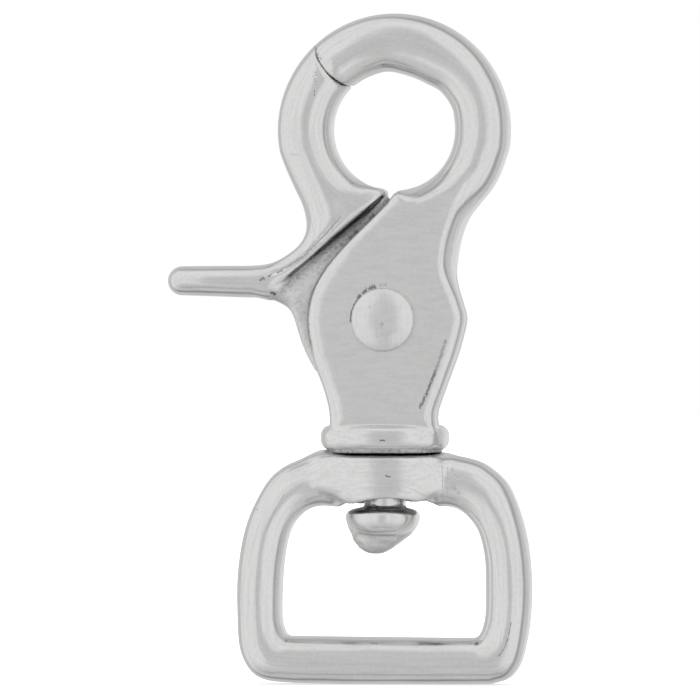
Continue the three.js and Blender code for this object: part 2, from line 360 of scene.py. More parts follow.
def body_outline():
    """The cheeks and the hook from the front, clockwise from the notch, with the nose too long."""
    return np.vstack([
        [NOTCH], [(1.25, 56.1)], spline([(1.9, 56.55), (2.9, 56.75), (4.1, 57.15)]),
        arc(RING_X, RING_Z, RING_INNER, -64, -1), spline(INNER_EDGE),
        arc(RING_X, RING_Z, RING_INNER, PARTING + 8, PARTING + PAST_PARTING),
        arc(RING_X, RING_Z, RING_OUTER, PARTING + PAST_PARTING, -10),
        spline(RIGHT_EDGE), [(6.8, 25.9), (-6.8, 25.9)], spline(LEFT_EDGE)])


def slot_outline():
    """The slot between the cheeks, open to the left and upwards."""
    floor, corner = 30.1, 3.0
    return np.vstack([
        [(-22, floor), (SLOT_WALL - corner, floor)],
        arc(SLOT_WALL - corner, floor + corner, corner, -90, 0, 6),
        [(SLOT_WALL, 42.5), (1.25, 53.6), (0.1, 58), (-22, 58)]])


body_plan = Plan(body_outline())
slot_plan = Plan(slot_outline(), soften=1)

ELSEWHERE = -9.0                         # the parting's distance where there is no parting
# The parting face: its shift along the bar, how it bows and about where, and the hollow in the nose.
NOSE = {"shift": 0.42, "bow": 0.075, "bow_at": -0.6, "hollow": 0.4, "hollow_half": 2.3}


def parting(x, y, z):
    """Distance past the parting face, from the hook's nose into the gate, and the place across the bar.
    The gate runs a little way into a hollow in the nose."""
    turn = math.radians(PARTING)
    dx, dz = x - RING_X, z - RING_Z
    along = -math.sin(turn) * dx + math.cos(turn) * dz
    across = math.cos(turn) * dx + math.sin(turn) * dz - (RING_INNER + RING_OUTER) / 2
    hollow = NOSE["hollow"] * np.clip(1 - (y / NOSE["hollow_half"]) ** 2, 0, 1)
    past = along - NOSE["shift"] + NOSE["bow"] * (across - NOSE["bow_at"]) ** 2 + hollow
    return np.where((z > RING_Z - 2) & (x < RING_X), past, ELSEWHERE), across


def parting_width(across):
    """The parting's gap shows most at the bar's inner side: 0 outside, 1 inside."""
    return smooth(-across, -0.5, 2.2)


# The rounding of the body's border on its left side, at the notch, on its right side and at the waist.
BORDER_WIDTH = (1.95, 1.05, 1.75, 2.4)
BORDER_RISE = (1.6, 0.9, 1.7, 4.4)
FULL_BAR = BAR - 0.03                    # rounding that leaves the bar no flat


def cheeks_and_hook(x, y, z):
    """The two cheeks, flat in front with rounded borders, that run up into the round bar of the hook."""
    beyond = body_plan(x, z)
    bar = smooth(z + 0.55 * (x - 8.0), 52.5, 61.5)
    right = smooth(x, 0.5, 4.5)
    waist = right * smooth(z, 42.5, 48.5)
    notch = smooth(z - 0.35 * x, 46.5, 53.0) * (1 - right)
    past, across = parting(x, 3.0, z)
    blunt = inset(past + 0.1 * across, 1.5).clip(0, 1) ** 2
    flare = 0.33 * np.clip((29.2 - z) / 2.4, 0, 1) ** 2
    half = mix(CHEEK + flare, BAR_DEPTH * (1 - 0.09 * blunt), bar)
    width, rise = (mix(mix(left, corner, notch), mix(straight, hollow, waist), right)
                   for left, corner, straight, hollow in (BORDER_WIDTH, BORDER_RISE))
    width = mix(width, FULL_BAR, bar)
    rise = mix(rise, half, bar)
    power = 2.1 - 0.4 * waist * (1 - bar)
    return section([inset(beyond, width)], np.abs(y), half, rise, width, power)


def collar(x, y, z):
    """The flange under the cheeks, with a thin bearing land below it."""
    foot, top, edge = COLLAR["foot"], COLLAR["top"], COLLAR["edge"]
    wide, deep = COLLAR["half_width"], COLLAR["half_depth"]
    around = oval(x, y, wide, deep, 2.45)
    flange = section([inset(around, edge)], np.abs(z - (foot + top) / 2), (top - foot) / 2, edge, edge, 2.1)
    land = np.maximum(oval(x, y, wide - 0.85, deep - 0.55, 2.4), np.abs(z - foot - 0.2) - 0.52)
    return join(flange, land, 0.1)


DOME = [(0, 12.75), (2.2, 12.9), (3.5, 13.3), (4.35, 14.05), (4.72, 15.0), (4.6, 15.7), (4.0, 16.15),
        (3.0, 16.4), (2.5, HEAD_TOP)]
DOME_X = -0.28                           # the head sits a little off the post
# The peened end of the post by height: how far it reaches to the left and to the right.
NUB = np.array([(10.55, -1.9, -0.4), (10.75, -2.5, 0.15), (11.3, -3.35, 1.1), (12.25, -4.0, 2.4),
                (13.25, -4.45, 3.6), (14.3, -4.75, 4.25), (15.2, -4.8, 4.3)])
dome_plan = Plan(np.vstack([spline(DOME), [(-1, HEAD_TOP), (-1, 12.75)]]), step=0.08, soften=1)


def swivel_head(x, y, z):
    """The post's upset head: a round dome with the rough peened end of the post below it."""
    dome = dome_plan(near(x, y, (DOME_X, 0)), z)
    left, right = (np.interp(z, NUB[:, 0], NUB[:, n]) for n in (1, 2))
    middle, reach = (left + right) / 2, (right - left) / 2
    flat = 0.58                          # the nub's depth against its width
    round_nub = (np.sqrt(((x - middle) / reach) ** 2 + (y / (flat * reach)) ** 2) - 1) * 0.65 * reach
    hammered = np.sin(2.6 * x + 1.9 * z + 0.5) * np.sin(3.1 * z - 1.2 * x)
    round_nub += 0.05 * hammered * smooth(z, 10.8, 11.8)
    foot = 10.52 - z + 0.12 * (near(x, y, (-1.1, 0)) / 1.2) ** 2
    nub = np.maximum(np.maximum(round_nub, foot), z - 15.4)
    return join(dome, nub, 0.18)


def hook_body(x, y, z):
    """The whole casting: hook, cheeks with their slot, collar, post and head, bored for the rivet."""
    solid = cheeks_and_hook(x, y, z)
    past, across = parting(x, y, z)
    solid = cut(solid, -past, mix(0.05, 0.14, parting_width(across)))
    slot = np.maximum(slot_plan(x, z), np.abs(y) - SLOT)
    solid = cut(solid, slot, 0.25)
    solid = join(solid, collar(x, y, z), 0.3)
    shaft = np.maximum(np.sqrt(x * x + y * y) - POST, np.abs(z - 20.3) - 4.6)  # from head to collar
    solid = join(solid, shaft, 0.2)
    solid = join(solid, swivel_head(x, y, z), 0.25)
    bore = near(x, z, (0, PIVOT_Z)) - BORE
    return cut(solid, bore, 0.15)


def fibres(beyond, y, x, z):
    """Coordinates in which polishing lines run: quick across a bar, slow along it."""
    return np.stack([beyond, y, 0.05 * (x + z)], 1)


def build_hook():
    """The casting with satin faces, a rough slot, and painted shade at the slot's rim, on the slot walls,
    under the collar and under the swivel head.
    """
    points, quads = surface_of(hook_body, (-10, -5.7, 10.3), (16.2, 5.7, 79.2), 0.25)
    x, y, z = points.T
    normal = slope_of(hook_body, points)
    normal /= np.linalg.norm(normal, axis=1, keepdims=True) + 1e-9
    satin = smooth(np.abs(normal[:, 1]), 0.96, 0.995) * smooth(np.abs(y), 3.9, 4.3) * smooth(z, 25, 30)
    inner = smooth(-np.abs(y), -SLOT - 0.3, -SLOT + 0.1) * smooth(-slot_plan(x, z), -0.5, 0.1)
    # Painted shade: under the collar, beside the slot and on its walls, and faintly under the swivel head.
    under = smooth(-z, -24.15, -23.85) * smooth(z, 22.8, 23.0)
    beside_slot = smooth(-np.abs(y), -4.0, -3.75) * smooth(-x, -1.0, 1.5)
    rim = 0.6 * beside_slot * smooth(z, 35, 38) * smooth(-z, -56, -54)
    peened = smooth(-z, -13.4, -12.7)
    marks = {"satin": satin, "rough": np.maximum(inner, 0.3 * peened),
             "painted_shade": np.max([rim, 0.6 * inner, 0.5 * under, 0.06 * peened], axis=0)}
    return mesh_object("hook_casting", points, quads, fibres(body_plan(x, z), y, x, z), marks)


# ---------------------------------------------------------------- trigger
RIDGE = ((-0.24, 55.55), (-14.3, 43.55))  # the rib's straight lower edge
CREASE = [(-4.6, 54.1), (-5.4, 53.2), (-7.4, 50.96), (-10.2, 48.2), (-13.0, 46.5), (-15.8, 45.5)]
ELBOW = (-14.8, 42.3)                    # where the lever's foot meets the tang


def trigger_outline():
    """The trigger seen from the front, with its rib's straight lower edge carried on past the slot."""
    tip_x, tip_z = LEVER_TIP
    return np.vstack([
        [(1.9, 53.4), (-12.35, 41.3), (-13.3, 42.4)],
        spline([(-14.7, 42.98), (-16.2, 43.08), (-18.4, 43.12), (-22, 43.25),
                (tip_x + 0.5, tip_z - LEVER_RADIUS)]),
        arc(tip_x, tip_z, LEVER_RADIUS, 262, 98, 6),
        spline([(-25.0, 47.05), (-20, 47.08), (-16.9, 47.1), (-14.6, 47.35), (-12.5, 48.1), (-10.9, 49.5),
                (-10.0, 51.4), (-10.1, 53.4), (-10.6, 55.1), (-11.5, 57.0), (-12.45, 59.1), (-13.1, 60.8)]),
        arc(RING_X, RING_Z, RING_OUTER, 191, PARTING - PAST_PARTING),
        arc(RING_X, RING_Z, RING_INNER, PARTING - PAST_PARTING, 247),
        spline([(-1.1, 56.98), (-0.55, 56.85), (-0.1, 56.4), (0.15, 55.9)])])


def tang_outline():
    """The tang from the front, up behind the rib, down its free edge and round the rivet."""
    return np.vstack([
        [(-0.05, 56.2), (-8.2, 50.4), (-14.6, 46.2), (-17.0, 45.4)],
        spline([(-16.9, 44.4), (-15.8, 43.6), (-14.8, 43.05), (-13.3, 42.4), (-12.2, 41.7), (-11.5, 40.6),
                (-10.9, 38.7), (-10.3, 36.9), (-9.3, 34.8), (-8.4, 33.5), (-7.4, 33.1), (-5.6, 33.9),
                (-2.0, 35.1)]),
        arc(0, PIVOT_Z, HUB, 250, 380), [(0.95, 54.8), (0.5, 55.7)]])


trigger_plan = Plan(trigger_outline())
tang_plan = Plan(tang_outline(), soften=1)
crease_plan = Plan(spline(CREASE), margin=4, closed=False)


def rib_height(x, z):
    """Distance above the rib's lower edge."""
    return -line_side(x, z, *RIDGE)


def trigger_bar(x, y, z):
    """The gate's round bar, the rib along its foot with a crease above it, and the finger lever."""
    above = rib_height(x, z)
    lever = smooth(-x, 11.8, 15.8)
    rib = 1 - smooth(above, 1.5, 4.5)
    past, _ = parting(x, 3.0, z)
    start = np.where(past > ELSEWHERE + 1, np.clip(1 - past / 0.9, 0, 1) ** 2, 0)
    outer = inset(trigger_plan(x, z), mix(FULL_BAR, 1.95, lever))
    lower = inset(-above, mix(0.5, 1.25, smooth(-x, 0.5, 4.0))) * (1 - smooth(-x, 13.2, 15.8))
    half = mix(mix(BAR_DEPTH * (1 - 0.12 * start), RIB_DEPTH, rib), LEVER_DEPTH, lever)
    tip = np.clip((-22.0 - x) / 4.6, 0, 1)
    fade = smooth(-x, 4.6, 7.6) * (1 - smooth(-x, 13.0, 15.6))
    crease = fade * np.exp(-(crease_plan(x, z) / 0.27) ** 2)
    half = half - 0.55 * tip ** 2 - 0.24 * crease
    rise = mix(mix(half, 1.5, rib), 2.7, lever)
    return section([outer, lower], np.abs(y), half, rise, 1.1, 2.1 - 0.15 * lever)


def tang(x, y, z):
    """The plate between the cheeks, thicker and rounder where it runs out to the elbow."""
    thick = TANG + 1.2 * smooth(-near(x, z, ELBOW), -5.0, -0.5)
    edge = smooth(-near(x, z, (-13.6, 43.0)), -4.2, -0.6)
    width = mix(0.7, 1.9, edge)
    return section([inset(tang_plan(x, z), width)], np.abs(y), thick, mix(0.6, 2.3, edge), width)


def spring_pocket(x, y, z):
    """The spring's pocket: round the rivet, with a window for one leg and a groove for the other."""
    around = near(x, z, (0, PIVOT_Z))
    angle = np.degrees(np.arctan2(z - PIVOT_Z, x))
    window = np.maximum(np.abs(angle - POCKET["middle"]) - POCKET["spread"], around - POCKET["reach"])
    leg = PIVOT_Z + SPRING["coil"]
    groove = np.maximum(np.abs(z - leg) - 0.65, np.maximum(x, -x - SPRING["leg"] - 0.3))
    hollow = np.minimum(np.minimum(around - POCKET["radius"], window), groove)
    return np.maximum(hollow, y - POCKET["back"])


def trigger_casting(x, y, z):
    """The whole casting: gate, rib and lever on their tang, bored for the rivet, with the spring's pocket."""
    solid = trigger_bar(x, y, z)
    past, across = parting(x, y, z)
    wide = parting_width(across)
    nose = np.where(past > ELSEWHERE + 1, past - mix(0.03, 0.24, wide), -ELSEWHERE)
    solid = cut(solid, nose, mix(0.05, 0.12, wide))
    fillet = mix(1.0, 0.9, smooth(-near(x, z, ELBOW), -4.0, -0.8))
    solid = join(solid, tang(x, y, z), fillet)
    bore = near(x, z, (0, PIVOT_Z)) - BORE
    solid = cut(solid, bore, 0.15)
    return cut(solid, spring_pocket(x, y, z), 0.15)


def build_trigger():
    """The casting with a rough recess under its rib, and painted shade beside the rib and deep in the recess
    towards the notch.
    """
    points, quads = surface_of(trigger_casting, (-27.8, -4.3, 32.5), (6, 4.3, 75.5), 0.24)
    x, y, z = points.T
    above = rib_height(x, z)
    recess = smooth(-above, -0.1, 0.35) * smooth(-np.abs(y), -3.9, -3.3)
    towards_notch = smooth(z + 0.5 * x, 40.0, 50.5)
    # Painted shade along the foot of the rib and deep in the recess towards the notch.
    beside_rib = np.exp(-((above + 0.5) / 0.55) ** 2) * smooth(x, -14.3, -12.5)
    deep = smooth(-above, -0.1, 0.9) * smooth(-np.abs(y), -3.2, -2.5) * towards_notch
    painted_shade = np.maximum(0.75 * deep, 0.4 * beside_rib * recess)
    marks = {"satin": 0 * x, "rough": recess, "painted_shade": painted_shade}
    return mesh_object("trigger_casting", points, quads, fibres(trigger_plan(x, z), y, x, z), marks)


# ---------------------------------------------------------------- strap eye
EYE_LEFT = [(-8.0, 23.25), (-11.1, 22.4), (-13.2, 21.35), (-14.9, 19.75), (-16.35, 17.3), (-17.55, 14.5),
            (-18.35, 11.2), (-18.8, 7.2), (-18.8, 3.0), (-18.6, -0.8), (-17.95, -3.0), (-16.7, -4.75),
            (-14.8, -5.6), (-11.5, -5.9)]
EYE_RIGHT = [(8.0, 23.3), (11.8, 22.4), (13.9, 21.25), (15.75, 19.4), (17.0, 16.7), (17.95, 13.5),
             (18.5, 10.2), (18.75, 6.2), (18.55, 2.3), (18.05, -0.9), (17.3, -3.4), (15.9, -5.15),
             (13.6, -5.95)]
HOLE_LEFT = [(-11.9, 0.1), (-12.35, 0.35), (-12.75, 1.3), (-13.0, 2.8), (-12.95, 6.5), (-12.65, 10.2),
             (-12.0, 13.2), (-11.0, 15.0), (-9.6, 16.2), (-8.0, 16.6), (-6.6, 16.5)]
HOLE_RIGHT = [(11.3, -0.1), (11.9, 0.2), (12.4, 1.2), (12.75, 3.0), (12.8, 6.5), (12.65, 10.2),
              (11.9, 13.3), (10.6, 15.2), (9.2, 16.25), (7.8, 16.55), (6.6, 16.4)]

outside_plan = Plan(np.vstack([
    [(-4, EYE_TOP), (4, EYE_TOP)], spline(EYE_RIGHT), [(8, EYE_FOOT), (-6, EYE_FOOT)],
    spline(EYE_LEFT)[::-1]]), margin=4)
hole_plan = Plan(np.vstack([spline(HOLE_RIGHT), spline(HOLE_LEFT)[::-1]]), margin=8)


def eye_bar(x, y, z):
    """The D-shaped bar: round legs and foot, a little fuller at the shoulders."""
    shoulder = smooth(z, 12.0, 19.0)
    outer = inset(outside_plan(x, z), mix(2.9, 3.5, shoulder))
    inner = inset(-hole_plan(x, z), mix(3.3, 3.5, shoulder))
    return section([outer, inner], np.abs(y), EYE_DEPTH, EYE_DEPTH, 2.9, 2.1)


def seat_arch(x, y, z):
    """The arch under the bearing boss, hollowed in the middle and lower at the back."""
    lift = 0.6 * (1 - smooth(np.abs(y), 3.0, 4.2)) - 0.45 * smooth(y, 3.2, 4.4)
    radius = 12.16
    arch = near(x, z - lift, (0.6, 17.7 - radius)) - radius
    return np.where(np.abs(x) < 9, np.maximum(arch, 9.5 - z), 9.0)


def boss(x, y, z):
    """The bearing boss on top of the strap eye, narrower at its foot."""
    wide = mix(BOSS["foot_half_width"], BOSS["half_width"], smooth(z, 16.3, 19.2))
    around = oval(x, y, wide, BOSS["half_depth"], 2.1)
    rise = mix(1.6, 1.05, smooth(z, 18, 21))
    return section([inset(around, 1.5)], np.abs(z - BOSS["middle"]), BOSS["half_height"], rise, 1.5, 2.1)


def strap_eye(x, y, z):
    """The whole casting: the bar and its boss, which runs smoothly into the left shoulder."""
    fillet = 0.45 + 1.4 * (1 - smooth(x, -3, 3)) * smooth(z, 17.3, 19.5)
    solid = join(eye_bar(x, y, z), boss(x, y, z), fillet)
    solid = cut(solid, seat_arch(x, y, z), 0.3)
    bore = np.sqrt(x * x + y * y) - POST - POST_CLEARANCE
    return cut(solid, np.maximum(bore, 12.0 - z), 0.3)


def build_eye():
    """The casting with a rough arch under its boss, and painted shade in the arch and on the boss under the
    collar.
    """
    points, quads = surface_of(strap_eye, (-19, -5.4, -6.2), (19, 5.4, 23.5), 0.25)
    x, y, z = points.T
    # Painted shade in the arch's hollow and on top of the boss under the collar.
    hollow = smooth(-np.abs(seat_arch(x, y, z)), -0.3, -0.05) * smooth(y, -4.4, -3.6)
    under = 0.3 * smooth(z, 23.0, 23.25) * smooth(-np.abs(x), -8.2, -6.8)
    marks = {"satin": 0 * x, "rough": 0.6 * hollow, "painted_shade": np.maximum(0.7 * hollow, under)}
    return mesh_object("eye_casting", points, quads, fibres(outside_plan(x, z), y, x, z), marks)


# ---------------------------------------------------------------- rivet and spring
DIMPLE = (-0.05, -0.65)                  # from the rivet's middle


def band(rings, around):
    """Quads between rings of points, with so many points around each."""
    rows, columns = np.meshgrid(np.arange(rings - 1), np.arange(around), indexing="ij")
    a = rows * around + columns
    b = rows * around + (columns + 1) % around
    return np.stack([a, b, b + around, a + around], 2).reshape(-1, 4)


def revolved(profile, segments):
    """Quads round the line through the pivot, along Y; the profile gives radius and place."""
    profile = np.array(profile)
    turn = np.linspace(0, 2 * math.pi, segments, endpoint=False)
    uneven = 0.006 * np.sin(3 * turn + 0.6)
    radius = profile[:, 0, None] * (1 + uneven[None, :])
    points = np.stack([radius * np.cos(turn), np.repeat(profile[:, 1, None], segments, 1),
                       PIVOT_Z + radius * np.sin(turn)], 2).reshape(-1, 3)
    return points, band(len(profile), segments)[:, [0, 3, 2, 1]]


def head_side(face, sign):
    """A low dome from its middle out to its steep rim, then the shank under it."""
    radius = (rivet_high[0] - rivet_low[0]) / 2
    top = rivet_high[1]
    r = np.concatenate([[0.004], np.linspace(0.12, radius * 0.955, 40)])
    dome = top - 0.87 * (r / radius) ** 2.8
    rim_top = dome[-1]
    rim = [(radius * 0.985, rim_top - 0.12), (radius, rim_top - 0.3), (radius, face + 0.02)]
    under = [(radius * 0.9, face - 0.02), (2.0, face - 0.02)]
    return [(radial, sign * place) for radial, place in [*zip(r, dome), *rim, *under]]


def build_rivet():
    """The rivet with its struck middle at each end."""
    face = CHEEK + 0.03
    points, quads = revolved(head_side(face, -1) + head_side(face, 1)[::-1], 112)
    x, y, z = points.T
    struck = np.sqrt((x - DIMPLE[0]) ** 2 + (z - PIVOT_Z - DIMPLE[1]) ** 2)
    sunk = 0.05 * np.exp(-(struck / 0.75) ** 2) + 0.1 * np.exp(-(struck / 0.2) ** 2)
    y -= np.sign(y) * np.where(np.abs(y) > face + 0.3, sunk, 0)
    # Painted shade in the struck hollow at the middle of each head.
    marks = {"satin": 0.4 + 0 * x, "rough": 0 * x, "painted_shade": 0.5 * np.exp(-(struck / 0.3) ** 2)}
    return mesh_object("rivet", points, quads, fibres(y, x, x, z), marks)


def spring_path():
    """The middle line of the wire: a leg to the slot's end wall, two coils and a leg to the tang."""
    coil, leg = SPRING["coil"], SPRING["leg"]
    turn = np.linspace(0, SPRING["turns"] * 2 * math.pi, 121)
    angle = math.pi / 2 + turn
    coils = np.stack([coil * np.cos(angle), SPRING["front"] + SPRING["rise"] * turn / (2 * math.pi),
                      PIVOT_Z + coil * np.sin(angle)], 1)
    legs = np.linspace(leg, 0.4, 16)
    first = np.stack([legs, np.full(16, coils[0, 1]), np.full(16, coils[0, 2])], 1)
    last = np.stack([-legs[::-1], np.full(16, coils[-1, 1]), np.full(16, coils[-1, 2])], 1)
    return np.vstack([first, coils, last])


def tube(path, radius, sides=14):
    """A closed round tube along a path."""
    along = np.gradient(path, axis=0)
    along /= np.linalg.norm(along, axis=1, keepdims=True)
    side = np.cross(along, (0, 1, 0))
    side /= np.linalg.norm(side, axis=1, keepdims=True)
    up = np.cross(side, along)
    turn = np.linspace(0, 2 * math.pi, sides, endpoint=False)
    spokes = side[:, None] * np.cos(turn)[None, :, None] + up[:, None] * np.sin(turn)[None, :, None]
    points = (path[:, None] + radius * spokes).reshape(-1, 3)
    first, last = len(points), len(points) + 1
    points = np.vstack([points, path[:1], path[-1:]])
    fans = []
    for centre, base, way in ((first, 0, 1), (last, len(path) * sides - sides, -1)):
        for n in range(0, sides, 2):
            corners = [centre, base + (n + 2) % sides, base + (n + 1) % sides, base + n]
            fans.append(corners if way > 0 else corners[::-1])
    return points, np.vstack([band(len(path), sides), fans])


def build_spring():
    """The torsion spring round the rivet."""
    points, quads = tube(spring_path(), SPRING["wire"] / 2)
    return mesh_object("spring", points, quads, points, {})


# ---------------------------------------------------------------- materials


class Nodes:
    """Short names for building a node tree."""

    def __init__(self, tree):
        self.tree = tree

    def add(self, kind, **inputs):
        """A new node with its inputs set, by name."""
        node = self.tree.nodes.new(kind)
        for key, value in inputs.items():
            self.put(node, key.replace("_", " "), value)
        return node

    def put(self, node, key, value):
        """Sets an input to a value, or links a socket to it."""
        socket = node.inputs[key]
        if isinstance(value, bpy.types.NodeSocket):
            self.tree.links.new(value, socket)
        else:
            socket.default_value = value

    def maths(self, operation, *values, clamp=False):
        node = self.tree.nodes.new("ShaderNodeMath")
        node.operation = operation
        node.use_clamp = clamp
        for n, value in enumerate(values):
            self.put(node, n, value)
        return node.outputs[0]

    def total(self, start, *shares, clamp=False):
        """start, plus each value times its share."""
        for number, (value, share) in enumerate(shares, 1):
            last = number == len(shares)
            start = self.maths("MULTIPLY_ADD", value, share, start, clamp=clamp and last)
        return start

    def ease(self, value, low, high, start=0.0, end=1.0):
        """Runs smoothly from start to end as the value goes from low to high."""
        node = self.tree.nodes.new("ShaderNodeMapRange")
        node.interpolation_type = "SMOOTHSTEP"
        for key, number in (("Value", value), ("From Min", low), ("From Max", high),
                            ("To Min", start), ("To Max", end)):
            self.put(node, key, number)
        return node.outputs[0]

    def blend(self, start, end, part):
        """start where part is 0, end where it is 1."""
        return self.maths("MULTIPLY_ADD", self.maths("SUBTRACT", end, start), part, start)

    def noise(self, place, scale, detail=3.0, stretch=(1, 1, 1)):
        """Noise by place, from 0 to 1."""
        mapping = self.add("ShaderNodeMapping")
        self.put(mapping, "Vector", place)
        mapping.inputs["Scale"].default_value = stretch
        node = self.add("ShaderNodeTexNoise", Scale=scale, Detail=detail)
        self.put(node, "Vector", mapping.outputs[0])
        return node.outputs["Fac"]

    def tones(self, part, first, second):
        """A colour between two, by part."""
        node = self.tree.nodes.new("ShaderNodeMix")
        node.data_type = "RGBA"
        self.put(node, "Factor", part)
        node.inputs["A"].default_value = (*first, 1)
        node.inputs["B"].default_value = (*second, 1)
        return node.outputs["Result"]

    def vectors(self, operation, *values, output="Vector"):
        node = self.tree.nodes.new("ShaderNodeVectorMath")
        node.operation = operation
        for n, value in enumerate(values):
            self.put(node, n, value)
        return node.outputs[output]

    def line(self, place, path):
        """Distance in metres to a path of points in X and Z, in millimetres."""
        flat = self.vectors("MULTIPLY", place, (1, 0, 1))
        nearest = None
        for start, end in zip(path, path[1:]):
            a, b = (Vector((x * MM, 0, z * MM)) for x, z in (start, end))
            away = self.vectors("SUBTRACT", flat, a)
            dot = self.vectors("DOT_PRODUCT", away, (b - a) / (b - a).length_squared, output="Value")
            part = self.maths("MULTIPLY", dot, 1.0, clamp=True)
            foot = self.vectors("MULTIPLY", (b - a)[:], self.spread(part))
            gap = self.vectors("LENGTH", self.vectors("SUBTRACT", away, foot), output="Value")
            nearest = gap if nearest is None else self.maths("MINIMUM", nearest, gap)
        return nearest

    def spread(self, value):
        """The value as all three parts of a vector."""
        return self.add("ShaderNodeCombineXYZ", X=value, Y=value, Z=value).outputs[0]

    def mark(self, name, output="Fac"):
        """A mark of the mesh's points, from mesh_object()."""
        node = self.tree.nodes.new("ShaderNodeAttribute")
        node.attribute_name = name
        return node.outputs[output]


def new_material(name):
    """A material, its node tree and its surface shader."""
    material = bpy.data.materials.new(name)
    material.use_nodes = True
    tree = Nodes(material.node_tree)
    return material, tree, material.node_tree.nodes["Principled BSDF"]


# Marks on the front of each piece: path in X and Z, width, strength, and how broken up it is.
FLAWS = {
    "hook_casting": [
        ([(7.9, 37.6), (7.3, 35.6), (6.55, 33.5), (5.65, 31.4)], 0.46, 0.5, 0.6),
        ([(6.6, 33.7), (5.6, 31.2), (4.8, 29.3)], 0.46, 0.8, 0.6),
        ([(4.75, 29.6), (4.7, 29.1)], 0.42, 0.8, 0.2),
        ([(-0.25, 25.0), (0.25, 25.0)], 0.26, 0.95, 0.1),
        ([(-8.2, 73.3), (-8.8, 74.1), (-9.1, 75.0)], 0.7, 0.55, 0.75),
        ([(-4.1, 40.0), (-4.0, 41.2), (-3.55, 42.3), (-2.8, 43.25)], 0.26, 0.8, 0.3),
        ([(-3.2, 43.0), (-2.9, 43.3)], 0.36, 0.75, 0.2),
        ([(-2.5, 43.65), (-2.15, 43.9)], 0.46, 0.8, 0.1),
        ([(-1.65, 44.2), (-1.05, 44.35)], 0.6, 0.85, 0.1),
        ([(-2.2, 44.2), (-0.6, 44.7), (0.6, 44.6)], 0.5, 0.5, 0.85),
        ([(6.6, 26.1), (6.95, 25.2), (6.9, 24.4)], 0.16, 0.4, 0.4),
    ],
    "trigger_casting": [
        (CREASE[1:5], 0.34, 0.4, 0.5),
        ([(-15.5, 45.3), (-15.2, 45.45)], 0.5, 0.75, 0.1),
        ([(-14.5, 45.75), (-14.2, 45.9)], 0.36, 0.7, 0.1),
        ([(-13.4, 46.2), (-12.8, 46.45)], 0.3, 0.65, 0.3),
        ([(-12.4, 46.7), (-11.6, 47.2)], 0.24, 0.45, 0.4),
        ([(-8.6, 71.7), (-8.7, 70.2)], 0.65, 0.5, 0.9),
        ([(-8.75, 69.2), (-8.75, 68.5)], 0.18, 0.7, 0.6),
        ([(-11.9, 61.2), (-10.8, 61.1)], 0.07, 0.5, 0.3),
        ([(-14.15, 43.65), (-13.85, 43.55)], 0.5, 0.8, 0.1),
        ([(-9.75, 55.2), (-9.3, 53.0), (-8.8, 51.2)], 0.1, 0.3, 0.5),
        ([(-9.4, 60.6), (-8.6, 59.0)], 0.08, 0.3, 0.5),
    ],
    "rivet": [
        ([(-1.8, 41.9), (0.4, 42.1)], 0.5, 0.25, 0.95),
        ([(-0.8, 38.1), (1.4, 38.6)], 0.5, 0.2, 0.95),
    ],
    "eye_casting": [
        ([(0.4, 20.52), (0.9, 20.42)], 0.26, 0.95, 0.1),
        ([(-16.15, 16.2), (-16.1, 16.15)], 0.16, 0.9, 0.0),
        ([(-1.9, -0.68), (-0.8, -0.75)], 0.1, 0.8, 0.4),
        ([(4.9, -0.78), (6.4, -0.88)], 0.1, 0.8, 0.4),
        ([(16.1, 2.0), (15.8, 0.3), (15.3, -1.2), (14.5, -2.3)], 0.17, 0.7, 0.4),
        ([(-12.6, 18.1), (-13.9, 15.9), (-14.9, 13.4)], 0.14, 0.45, 0.4),
        ([(7.4, 21.8), (7.5, 17.3)], 0.1, 0.4, 0.7),
        ([(8.1, 21.6), (8.05, 18.2)], 0.07, 0.4, 0.7),
        ([(8.7, 21.3), (9.4, 20.2), (8.8, 19.2), (9.5, 18.3)], 0.5, 0.3, 0.8),
        ([(1.6, 19.5), (3.6, 18.9), (5.6, 17.8)], 0.07, 0.3, 0.5),
        ([(0.8, 18.9), (3.4, 18.4)], 0.07, 0.3, 0.5),
    ],
}


# Noise scales of the metal's detail, in waves to the metre.
DETAIL = {"waves": 170.0, "dents": 560.0, "brushing": 1500.0, "fine": 2600.0, "crumbs": 4000.0,
          "grain": 7000.0}


def flaws(n, place, paths):
    """How marked the front of the piece is, from 0 to 1."""
    crumbs = n.noise(place, DETAIL["crumbs"], 2.0)
    front = n.ease(n.add("ShaderNodeSeparateXYZ", Vector=place).outputs["Y"], -0.5 * MM, -1.0 * MM)
    total = None
    for path, width, strength, broken in paths:
        gap = n.line(place, path)
        gap = n.maths("MULTIPLY_ADD", n.maths("SUBTRACT", crumbs, 0.5), -1.2 * width * MM, gap)
        line = n.ease(gap, 0.5 * width * MM, 0.25 * width * MM, 0.0, strength)
        kept = n.ease(crumbs, 0.54 * broken, 0.54 * broken + 0.1)
        line = n.maths("MULTIPLY", line, kept)
        total = line if total is None else n.maths("MAXIMUM", total, line)
    return n.maths("MULTIPLY", total, front)


